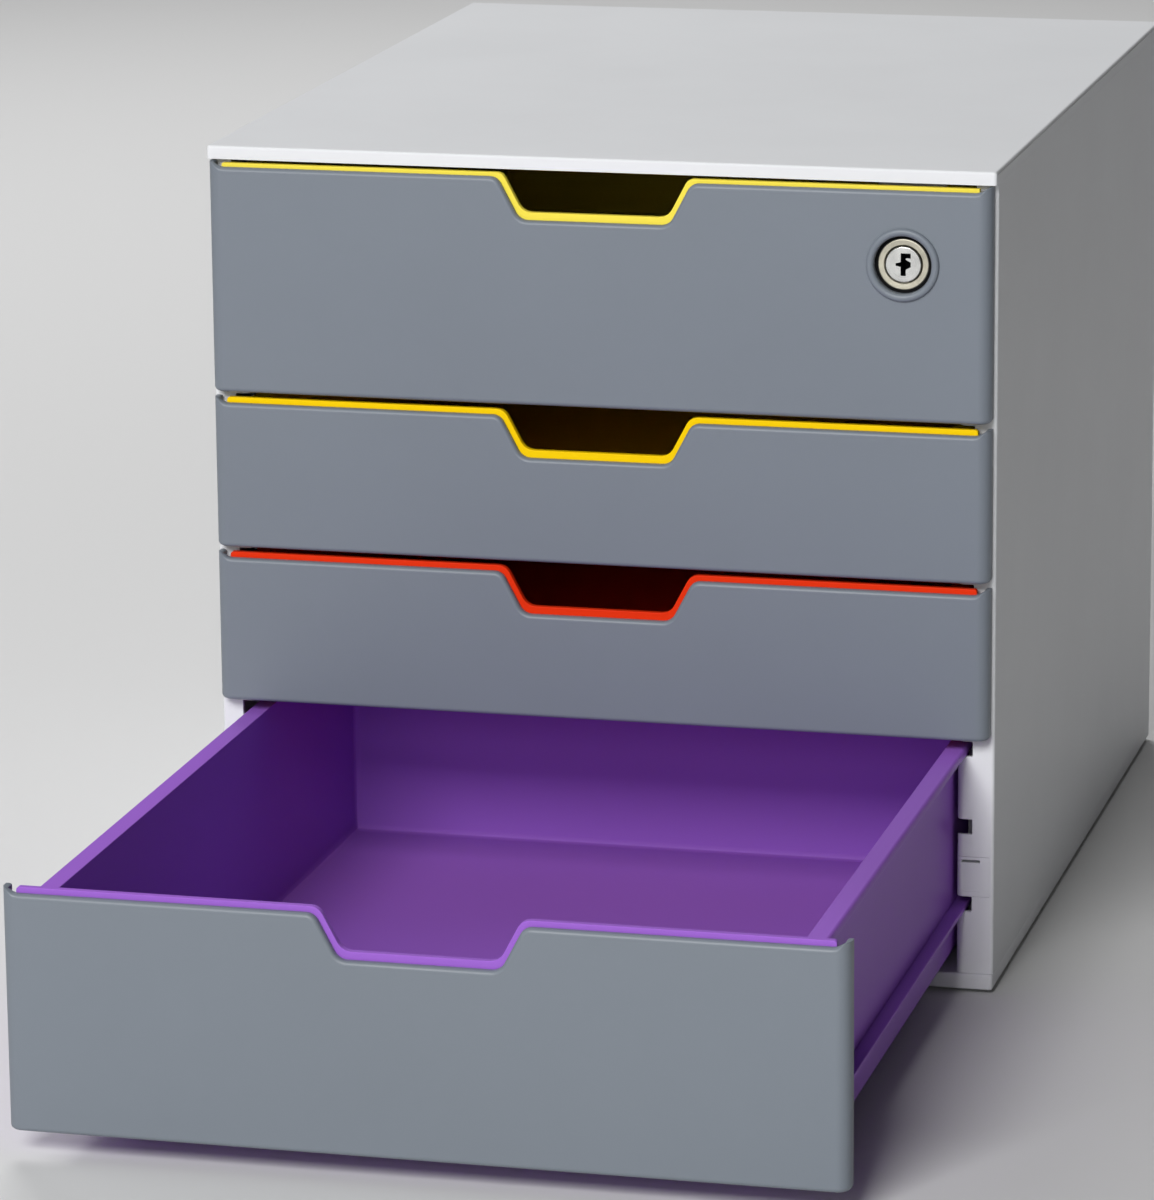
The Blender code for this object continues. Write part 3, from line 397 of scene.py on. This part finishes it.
def rounded(corners):
    """An outline from corners (a, b, radius), each turned into an arc."""
    points = []
    for index, (a, b, radius) in enumerate(corners):
        here = Vector((a, b))
        if not radius:
            points.append(here)
            continue
        before = (Vector(corners[index - 1][:2]) - here).normalized()
        after = (Vector(corners[(index + 1) % len(corners)][:2]) - here).normalized()
        half = before.angle(after) / 2
        start = here + before * radius / math.tan(half)
        centre = here + (before + after).normalized() * radius / math.sin(half)
        end = here + after * radius / math.tan(half)
        sweep = math.pi - 2 * half
        turn = math.copysign(sweep, (start - centre).cross(end - centre))
        steps = max(1, math.ceil(sweep / ARC_STEP))
        for count in range(steps + 1):
            spoke = start - centre
            spoke.rotate(Matrix.Rotation(turn * count / steps, 2))
            points.append(centre + spoke)
    return points


def mirrored(outline, sign):
    """An outline for the right side, or its mirror image for the left."""
    return outline if sign > 0 else [(-a, b) for a, b in reversed(outline)]


def spanned(sign, inner, outer):
    """The low and high x of a stretch of the right side, or of its mirror image on the left."""
    return sorted((sign * inner, sign * outer))


def solid(name, mesh):
    """A closed mesh as an object, its faces pointing out."""
    bmesh.ops.remove_doubles(mesh, verts=mesh.verts, dist=WELD / 2)
    bmesh.ops.recalc_face_normals(mesh, faces=mesh.faces)
    data = bpy.data.meshes.new(name)
    mesh.to_mesh(data)
    mesh.free()
    made = bpy.data.objects.new(name, data)
    bpy.context.scene.collection.objects.link(made)
    return made


def prism(name, outline, axis, low, high):
    """A solid of one outline, drawn square to an axis and pulled from low to high along it."""
    places = {
        "X": lambda a, b, along: (along, a, b),
        "Y": lambda a, b, along: (a, along, b),
        "Z": lambda a, b, along: (a, b, along),
    }
    place = places[axis]
    mesh = bmesh.new()
    face = mesh.faces.new([mesh.verts.new(place(a, b, low)) for a, b in outline])
    pulled = bmesh.ops.extrude_face_region(mesh, geom=[face])["geom"]
    moved = [item for item in pulled if isinstance(item, bmesh.types.BMVert)]
    bmesh.ops.translate(mesh, verts=moved, vec=place(0, 0, high - low))
    return solid(name, mesh)


def block(name, low, high):
    """A box between two corners."""
    outline = [(low[0], low[1]), (high[0], low[1]), (high[0], high[1]), (low[0], high[1])]
    return prism(name, outline, "Z", low[2], high[2])


def turned(name, profile, centre):
    """A solid turned about an axis along Y, from a closed profile of (radius, y) points."""
    mesh = bmesh.new()
    ring = [mesh.verts.new((centre[0] + radius, y, centre[1])) for radius, y in profile]
    edges = [mesh.edges.new((ring[index - 1], ring[index])) for index in range(len(ring))]
    for edge in [item for item in edges if all(vert.co.x == centre[0] for vert in item.verts)]:
        mesh.edges.remove(edge)
    bmesh.ops.spin(
        mesh,
        geom=mesh.verts[:] + mesh.edges[:],
        cent=(centre[0], 0, centre[1]),
        axis=(0, 1, 0),
        angle=math.tau,
        steps=ROUND_STEPS,
        use_merge=True,
    )
    return solid(name, mesh)


def combine(piece, tool, operation):
    """Cut, join or keep the common part of two solids, and drop the tool."""
    modifier = piece.modifiers.new(operation.lower(), "BOOLEAN")
    modifier.operation = operation
    modifier.solver = "EXACT"
    modifier.object = tool
    depsgraph = bpy.context.evaluated_depsgraph_get()
    result = bpy.data.meshes.new_from_object(piece.evaluated_get(depsgraph))
    piece.modifiers.clear()
    old = piece.data
    piece.data = result
    bpy.data.meshes.remove(old)
    bpy.data.objects.remove(tool, do_unlink=True)
    return piece


def bevel_edges(piece, chosen, width):
    """Round the edges that a test of their middle chooses."""
    mesh = bmesh.new()
    mesh.from_mesh(piece.data)
    edges = [edge for edge in mesh.edges if chosen((edge.verts[0].co + edge.verts[1].co) / 2)]
    bmesh.ops.bevel(
        mesh, geom=edges, offset=width, segments=FINE_STEPS, profile=ROUND_PROFILE, affect="EDGES"
    )
    bmesh.ops.recalc_face_normals(mesh, faces=mesh.faces)
    mesh.to_mesh(piece.data)
    mesh.free()
    return piece


def near(value, target):
    """Whether two lengths are the same, but for what a weld closes."""
    return abs(value - target) < 2 * WELD


def evenly(width):
    """A rule that rounds every sharp edge that stands out by one width."""
    return lambda first, second: width


def softened(piece, width_of):
    """Weld, dissolve flat faces, round the sharp edges that stand out by their widths, and shade smooth.

    Sharp edges that fall inwards, or have a width of zero, stay sharp.
    """
    mesh = bmesh.new()
    mesh.from_mesh(piece.data)
    bmesh.ops.remove_doubles(mesh, verts=mesh.verts, dist=WELD)
    bmesh.ops.dissolve_limit(
        mesh, angle_limit=FLAT_ANGLE, verts=mesh.verts, edges=mesh.edges, delimit={"MATERIAL"}
    )
    layer = mesh.edges.layers.float.new("bevel_weight_edge")
    by_width = {}
    for edge in mesh.edges:
        if len(edge.link_faces) == 2 and edge.calc_face_angle(0) > SHARP_ANGLE:
            width = width_of(*(vert.co.copy() for vert in edge.verts)) if edge.is_convex else 0
            by_width.setdefault(width, []).append(edge)
    for face in mesh.faces:
        face.smooth = True
    for edge in by_width.pop(0, []):
        edge.smooth = False
    widest = max(by_width, default=0)
    for width, edges in by_width.items():
        for edge in edges:
            edge[layer] = width / widest
    mesh.to_mesh(piece.data)
    mesh.free()
    if widest:
        rounding = piece.modifiers.new("rounding", "BEVEL")
        rounding.limit_method = "WEIGHT"
        rounding.width = widest
        rounding.segments = EDGE_STEPS
        rounding.use_clamp_overlap = False
        rounding.miter_outer = "MITER_SHARP"
    weighted = piece.modifiers.new("weighted", "WEIGHTED_NORMAL")
    weighted.keep_sharp = True
    weighted.weight = NORMAL_WEIGHT
    return piece


def placed(piece, node, paints):
    """The piece stands for its CAD node, in these materials."""
    piece.name = piece.data.name = node + "_dressed"
    if piece.data.materials:
        piece.data.materials.clear()
    for paint in paints:
        piece.data.materials.append(paint)
    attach(piece, frame["nodes"][node]["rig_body"])
    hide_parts(node)
    return piece


def slot_span(unit):
    """The low and high of a unit's runner slot."""
    high = STACK_LOW + (unit + 1) * UNIT_PITCH - SLOT_DROP
    return high - SLOT_HEIGHT, high


def side_piece(side, sign):
    """A side skin with its stile, whose front is a thin sheet with a notch at every slot and stop windows."""
    inner = HALF_WIDTH - SKIN
    sheet_back = STILE_FRONT + STILE_SHEET
    front, back = STILE_FRONT - OVERRUN, STILE_BACK + OVERRUN
    outline = rounded([
        (HALF_WIDTH, STILE_FRONT, CASE_CORNER),
        (HALF_WIDTH, BACK_Y, CASE_CORNER),
        (inner, BACK_Y, 0),
        (inner, LEDGE_BACK, 0),
        (inner - LEDGE_WIDTH, LEDGE_BACK, 0),
        (inner - LEDGE_WIDTH, LEDGE_FRONT, 0),
        (inner, LEDGE_FRONT, 0),
        (inner, sheet_back, 0),
        (BAY_HALF + STILE_SHEET, sheet_back, 0),
        (BAY_HALF + STILE_SHEET, STILE_BACK, 0),
        (BAY_HALF, STILE_BACK, 0),
        (BAY_HALF, STILE_FRONT, STILE_INNER_RADIUS),
    ])
    panel = prism(side + "_side", mirrored(outline, sign), "Z", STACK_LOW + FIT, STACK_HIGH - FIT)
    for unit in range(UNITS):
        low, high = slot_span(unit)
        notch = rounded([
            (BAY_HALF - OVERRUN, low - NOTCH_RADIUS, 0),
            (BAY_HALF, low - NOTCH_RADIUS, 0),
            (BAY_HALF, low, NOTCH_RADIUS),
            (SLOT_FLOOR, low, NOTCH_RADIUS / 2),
            (SLOT_FLOOR, high, NOTCH_RADIUS / 2),
            (BAY_HALF, high, NOTCH_RADIUS),
            (BAY_HALF, high + NOTCH_RADIUS, 0),
            (BAY_HALF - OVERRUN, high + NOTCH_RADIUS, 0),
        ])
        combine(panel, prism("notch", mirrored(notch, sign), "Y", front, back), "DIFFERENCE")
        x_low, x_high = spanned(sign, BAY_HALF - OVERRUN, SLOT_FLOOR - STILE_SHEET)
        ledge = block("ledge", (x_low, sheet_back, low - LEDGE_DROP), (x_high, back, high))
        combine(panel, ledge, "DIFFERENCE")
    x_low, x_high = spanned(sign, BAY_HALF - OVERRUN, HALF_WIDTH - WINDOW_SKIN)
    for number in range(1, DRAWERS + 1):
        stop_low, stop_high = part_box(f"drawer_stop_{number}_{side}")
        start = (x_low, front, stop_low.z + STOP_TOOTH)
        combine(panel, block("window", start, (x_high, back, stop_high.z + STOP_GAP)), "DIFFERENCE")
    return softened(panel, evenly(0))


def stop_piece(number, side, sign):
    """A drawer stop: its plate, a ramped tooth in the slot, and a shallow pad under an open slit."""
    low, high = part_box(f"drawer_stop_{number}_{side}")
    slot_top = low.z + STOP_TOOTH
    outer = HALF_WIDTH - WINDOW_SKIN - FIT
    front, back = STILE_FRONT - OVERRUN, STILE_BACK + OVERRUN
    outline = rounded([
        (BAY_HALF, STILE_FRONT, STILE_INNER_RADIUS),
        (outer, STILE_FRONT, 0),
        (outer, STILE_BACK, 0),
        (BAY_HALF, STILE_BACK, 0),
    ])
    stop = prism("stop", mirrored(outline, sign), "Z", low.z, high.z + STOP_GAP - STOP_SEAM)
    tooth_front = STILE_BACK - STOP_TOOTH_LENGTH
    ramp = [
        (front, slot_top),
        (tooth_front - STOP_RAMP, slot_top),
        (tooth_front, low.z),
        (tooth_front, low.z - OVERRUN),
        (front, low.z - OVERRUN),
    ]
    x_low, x_high = spanned(sign, BAY_HALF - OVERRUN, outer + OVERRUN)
    combine(stop, prism("ramp", ramp, "X", x_low, x_high), "DIFFERENCE")
    x_low, x_high = spanned(sign, SLOT_FLOOR - STOP_GAP, outer + OVERRUN)
    beside = block("beside", (x_low, front, low.z - OVERRUN), (x_high, back, slot_top + STOP_SEAM))
    combine(stop, beside, "DIFFERENCE")
    pad_inner = BAY_HALF + STOP_PAD_INSET
    pad_top = high.z - STOP_SLIT_DROP
    x_low, x_high = spanned(sign, pad_inner, pad_inner + STOP_PAD_WIDTH)
    start = (x_low, front, slot_top + STOP_PAD_INSET)
    combine(stop, block("pad", start, (x_high, STILE_FRONT + STOP_PAD_DEPTH, pad_top)), "DIFFERENCE")
    slit = block("slit", (x_low, front, pad_top - STOP_SLIT), (x_high, back, pad_top))
    combine(stop, slit, "DIFFERENCE")
    return softened(stop, evenly(0))


def collar_piece(front):
    """The rounded collar round the lock, rooted in the cover's wall."""
    middle = (COLLAR_OUTER + COLLAR_INNER) / 2
    reach = (COLLAR_OUTER - COLLAR_INNER) / 2
    root = front + COVER_WALL / 2
    profile = [(COLLAR_INNER, root)]
    for count in range(2 * FINE_STEPS + 1):
        swing = math.pi * count / (2 * FINE_STEPS)
        rise = COLLAR_RISE * math.sin(swing) ** COLLAR_FULLNESS
        profile.append((middle - reach * math.cos(swing), front - rise))
    profile.append((COLLAR_OUTER, root))
    return turned("collar", profile, lock_centre())


def lock_hole(front, back):
    """What is cut out of the top cover for the lock."""
    profile = [
        (0, front - OVERRUN),
        (COLLAR_INNER, front - OVERRUN),
        (COLLAR_INNER, back + OVERRUN),
        (0, back + OVERRUN),
    ]
    return turned("hole", profile, lock_centre())


def cover_piece(number):
    """A front: a thin plate with soft edges, wrapped back round the tray, and its finger cut-out."""
    low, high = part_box(f"front_cover_{number}")
    half, back = high.x, high.y
    front = back - COVER_DEPTH
    top = high.z - EAR_RISE
    ear_in = half - EAR_WIDTH
    past = half + OVERRUN
    plan = rounded([
        (-half, front, COVER_CORNER),
        (half, front, COVER_CORNER),
        (half, back, 0),
        (-half, back, 0),
    ])
    cover = prism("cover", plan, "Z", low.z, high.z + OVERRUN)
    bevel_edges(cover, lambda at: near(at.z, low.z) and not near(at.y, back), COVER_BOTTOM_RADIUS)
    right = [
        (past, low.z - OVERRUN, 0),
        (past, high.z, 0),
        (ear_in, high.z, EAR_TIP_RADIUS),
        (ear_in - EAR_RUN, top, EAR_FOOT_RADIUS),
        (GRIP_TOP_HALF, top, GRIP_SHOULDER_RADIUS),
        (GRIP_BOTTOM_HALF, top - GRIP_DEPTH, GRIP_BOTTOM_RADIUS),
    ]
    outline = rounded(right + [(-a, b, radius) for a, b, radius in reversed(right)])
    face = prism("face", outline, "Y", front, back + OVERRUN)
    bevel_edges(face, lambda at: near(at.y, front) and at.z > low.z, COVER_FACE_RADIUS)
    combine(cover, face, "INTERSECT")
    inside = half - COVER_RETURN
    start = (-inside, front + COVER_WALL, low.z + COVER_RETURN)
    combine(cover, block("hollow", start, (inside, back + OVERRUN, high.z + 2 * OVERRUN)), "DIFFERENCE")
    if number == 1:
        combine(cover, collar_piece(front), "UNION")
        combine(cover, lock_hole(front, back), "DIFFERENCE")
    return softened(cover, evenly(SEAM_EDGE))


def lock_centre():
    """The lock's axis, seen from the front."""
    low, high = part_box("lock_plug")
    return (low.x + high.x) / 2, (low.z + high.z) / 2


def arc_profile(radius, y, edge):
    """The rounded front edge of a turned piece, as (radius, y) points from its face to its side."""
    points = []
    for count in range(EDGE_STEPS + 1):
        swing = math.pi / 2 * count / EDGE_STEPS
        points.append((radius + edge * (math.sin(swing) - 1), y + edge * (1 - math.cos(swing))))
    return points


def washer_piece():
    """The washer, which fills the gap round the ring, in a near-black that is partly its own black and partly
    painted shade of the gap.
    """
    outer = COLLAR_INNER - FIT
    profile = [
        (WASHER_INNER, WASHER_FRONT),
        (outer, WASHER_FRONT),
        (outer, WASHER_BACK),
        (WASHER_INNER, WASHER_BACK),
    ]
    return softened(turned("washer", profile, lock_centre()), evenly(0))


def housing_piece():
    """The lock's barrel with its ring, whose face falls a little towards the plug."""
    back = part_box("lock_housing")[1].y
    bore = PLUG_RADIUS + PLUG_GAP
    shoulder = WASHER_FRONT - FIT
    profile = [
        (bore, back),
        (bore, RING_FRONT + RING_DISH + RING_EDGE / 2),
        (bore + RING_EDGE / 2, RING_FRONT + RING_DISH),
    ]
    profile += arc_profile(RING_RADIUS, RING_FRONT, RING_EDGE)
    profile += [(RING_RADIUS, shoulder), (BARREL_RADIUS, shoulder), (BARREL_RADIUS, back)]
    return softened(turned("housing", profile, lock_centre()), evenly(0))


def plug_piece():
    """The lock's turning core, with the profiled slot for the key, whose inside faces are painted near-black
    as painted shade.
    """
    x, z = lock_centre()
    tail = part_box("lock_housing")[1].y
    profile = [(0, PLUG_FRONT)] + arc_profile(PLUG_RADIUS, PLUG_FRONT, PLUG_EDGE)
    profile += [(PLUG_RADIUS, tail), (0, tail)]
    plug = turned("plug", profile, (x, z))
    half = KEYWAY_WIDTH / 2
    tall = KEYWAY_HEIGHT / 2
    step = KEYWAY_WARD
    ward = half + step
    keyway = [
        (-half, -tall), (half, -tall), (half, -step), (ward, -step / 2), (ward, step / 2),
        (half, step), (half, tall - step), (ward, tall - step), (ward, tall), (-half, tall),
        (-half, step / 2), (-ward, step / 4), (-ward, -step / 4), (-half, -step / 2),
    ]
    outline = [(x + a, z + b) for a, b in keyway]
    slot = prism("keyway", outline, "Y", PLUG_FRONT - OVERRUN, PLUG_FRONT + KEYWAY_DEPTH)
    combine(plug, slot, "DIFFERENCE")
    # The keyway's inside faces take the near-black: painted shade
    for face in plug.data.polygons:
        middle = face.center
        inside = math.hypot(middle.x - x, middle.z - z) < PLUG_RADIUS - PLUG_EDGE
        if inside and PLUG_FRONT + PLUG_EDGE / 4 < middle.y < tail - PLUG_EDGE:
            face.material_index = KEYWAY_SHADE_PAINT
    return softened(plug, evenly(0))


def copied(node):
    """A copy of the CAD piece."""
    made = bpy.data.objects.new(node + "_copy", frame["nodes"][node].data.copy())
    bpy.context.scene.collection.objects.link(made)
    return made


def carried(node, reshaped=None, width_of=evenly(EDGE)):
    """The CAD piece, its points moved by a rule for places if one is given, and its edges rounded."""
    made = copied(node)
    if reshaped:
        for vert in made.data.vertices:
            vert.co = reshaped(vert.co)
    return softened(made, width_of)


def lid_piece():
    """The lid, with the thin seam that runs back under its rounded side edges."""
    lid = copied("top_panel")
    for sign in (-1, 1):
        x_low, x_high = spanned(sign, HALF_WIDTH - LID_SEAM_DEPTH, HALF_WIDTH + OVERRUN)
        start = (x_low, LID_SEAM_FRONT, LID_SEAM_TOP - LID_SEAM_HEIGHT)
        combine(lid, block("seam", start, (x_high, -LID_SEAM_FRONT, LID_SEAM_TOP)), "DIFFERENCE")
    return softened(lid, lid_width)


def drawn_in(place):
    """A tray's point, with the flanges that run in the slots drawn in a little."""
    overhang = abs(place.x) - FLANGE_ROOT
    if overhang <= 0:
        return place
    share = (FLANGE_SHOWN - FLANGE_ROOT) / (FLANGE_EDGE - FLANGE_ROOT)
    return Vector((math.copysign(FLANGE_ROOT + overhang * share, place.x), place.y, place.z))


def under_lid(place):
    """The top tray's point, drawn in, with the front wall kept low, so that a gap shows under the lid."""
    place = drawn_in(place)
    return Vector((place.x, place.y, min(place.z, TOP_TRAY_HIGH)))


def set_back(place):
    """A runner rack's point, with its front end, unseen behind the stile, set further back."""
    return Vector((place.x, max(place.y, RACK_FRONT), place.z))


def lid_width(first, second):
    """The lid's rim beneath stays sharp, where it meets the sides, and so does the seam."""
    under = near(first.z, STACK_HIGH) and near(second.z, STACK_HIGH)
    in_seam = LID_SEAM_TOP - LID_SEAM_HEIGHT - WELD < first.z < LID_SEAM_TOP + WELD
    return 0 if under or in_seam else EDGE


def base_width(first, second):
    """The plinth's front lip is well rounded, and its edge under the sides stays sharp."""
    if near(first.z, STACK_LOW) and near(second.z, STACK_LOW):
        return BASE_LIP if max(first.y, second.y) < STILE_FRONT else 0
    return EDGE


def camera():
    """The camera at the photograph's place."""
    forward = Vector((
        math.sin(CAMERA_YAW) * math.cos(CAMERA_PITCH),
        math.cos(CAMERA_YAW) * math.cos(CAMERA_PITCH),
        -math.sin(CAMERA_PITCH),
    ))
    level = Vector((math.cos(CAMERA_YAW), -math.sin(CAMERA_YAW), 0))
    upright = level.cross(forward)
    right = level * math.cos(CAMERA_ROLL) + upright * math.sin(CAMERA_ROLL)
    up = upright * math.cos(CAMERA_ROLL) - level * math.sin(CAMERA_ROLL)
    facing = Matrix((right, up, -forward)).transposed().to_4x4()
    data = bpy.data.cameras.new("camera")
    data.lens = CAMERA_LENS
    data.sensor_width = CAMERA_SENSOR
    data.sensor_fit = "AUTO"
    data.clip_start = CLIP_NEAR
    data.clip_end = CLIP_FAR
    made = bpy.data.objects.new("camera", data)
    made.matrix_world = Matrix.Translation(CAMERA_EYE) @ facing
    bpy.context.scene.collection.objects.link(made)
    bpy.context.scene.camera = made


def soft_box(name, place, width, height, strength):
    """A large soft light that the camera doesn't see."""
    data = bpy.data.lights.new(name, "AREA")
    data.shape = "RECTANGLE"
    data.size = width
    data.size_y = height
    data.energy = strength
    made = bpy.data.objects.new(name, data)
    made.location = place
    made.rotation_euler = (LIGHT_AIM - place).to_track_quat("-Z", "Y").to_euler()
    made.visible_camera = False
    made.visible_glossy = name not in NO_GLINT
    bpy.context.scene.collection.objects.link(made)


def sky():
    """An even studio surround that is brighter overhead."""
    world = bpy.data.worlds.new("studio")
    world.use_nodes = True
    tree = world.node_tree
    back = tree.nodes["Background"]
    place = tree.nodes.new("ShaderNodeTexCoord").outputs["Generated"]
    split = tree.nodes.new("ShaderNodeSeparateXYZ")
    tree.links.new(place, split.inputs["Vector"])
    tree.links.new(ranged(tree, split.outputs["Z"], SKY_LOW, SKY_HIGH), back.inputs["Strength"])
    back.inputs["Color"].default_value = (1, 1, 1, 1)
    bpy.context.scene.world = world


def floor():
    """The plain pale floor."""
    mesh = bpy.data.meshes.new("floor")
    half = FLOOR_SIZE / 2
    corners = [(-half, -half, 0), (half, -half, 0), (half, half, 0), (-half, half, 0)]
    mesh.from_pydata(corners, [], [(0, 1, 2, 3)])
    made = bpy.data.objects.new("floor", mesh)
    bpy.context.scene.collection.objects.link(made)
    paint, _, shader = graph("floor_paint")
    shader.inputs["Base Color"].default_value = (*FLOOR_COLOUR, 1)
    shader.inputs["Roughness"].default_value = FLOOR_ROUGHNESS
    mesh.materials.append(paint)


def dress_everything():
    """Every CAD piece in its finish."""
    shell = moulded("casing_plastic", CASING, CASING_FINISH)
    cover = moulded("cover_plastic", SLATE, COVER_FINISH)
    trays = [
        moulded(name + "_plastic", colour, TRAY_FINISH)
        for name, colour in (("yellow", YELLOW), ("amber", AMBER), ("red", RED), ("purple", PURPLE))
    ]
    x, z = lock_centre()
    axis = (x, PLUG_FRONT, z)
    ring = metal("lock_ring_plate", RING_NICKEL, RING_ROUGHNESS, axis)
    nickel = metal("lock_nickel_plate", NICKEL, NICKEL_ROUGHNESS, axis)
    steel = metal("zinc_steel", STEEL, STEEL_ROUGHNESS)
    rubber = dull("black_rubber_bloom", RUBBER, RUBBER_FINISH)
    # Near-black for the washer and for the painted shade inside the keyway
    black = dull("washer_black_and_painted_shade", WASHER_BLACK_AND_PAINTED_SHADE, BLACK_FINISH)
    plain = {"casing": shell, "black_rubber": rubber, "nickel": nickel}
    for entry in frame["record"]["subparts"]:
        node, slot = entry["node"], entry["material_slot"]
        side = "left" if "left" in node else "right"
        sign = -1 if side == "left" else 1
        if node.endswith("_side_panel"):
            placed(side_piece(side, sign), node, [shell])
        elif node.startswith("drawer_stop_"):
            placed(stop_piece(int(node.split("_")[2]), side, sign), node, [shell])
        elif node.startswith("front_cover_"):
            placed(cover_piece(int(node[-1])), node, [cover])
        elif node.startswith("tray_"):
            reshaped = under_lid if node == "tray_1" else drawn_in
            placed(carried(node, reshaped), node, [trays[int(node[-1]) - 1]])
        elif node.endswith("_runner_rack"):
            placed(carried(node, set_back), node, [shell])
        elif node == "top_panel":
            placed(lid_piece(), node, [shell])
        elif node == "base_plate":
            placed(carried(node, width_of=base_width), node, [shell])
        elif node == "lock_washer":
            placed(washer_piece(), node, [black])
        elif node == "lock_housing":
            placed(housing_piece(), node, [ring])
        elif node == "lock_plug":
            placed(plug_piece(), node, [nickel, black])
        else:
            placed(carried(node), node, [plain.get(slot, steel)])


camera()
for box_name, box_measures in SOFT_BOXES.items():
    soft_box(box_name, *box_measures)
sky()
floor()
dress_everything()
bpy.context.scene.view_settings.view_transform = "Standard"
bpy.context.view_layer.update()
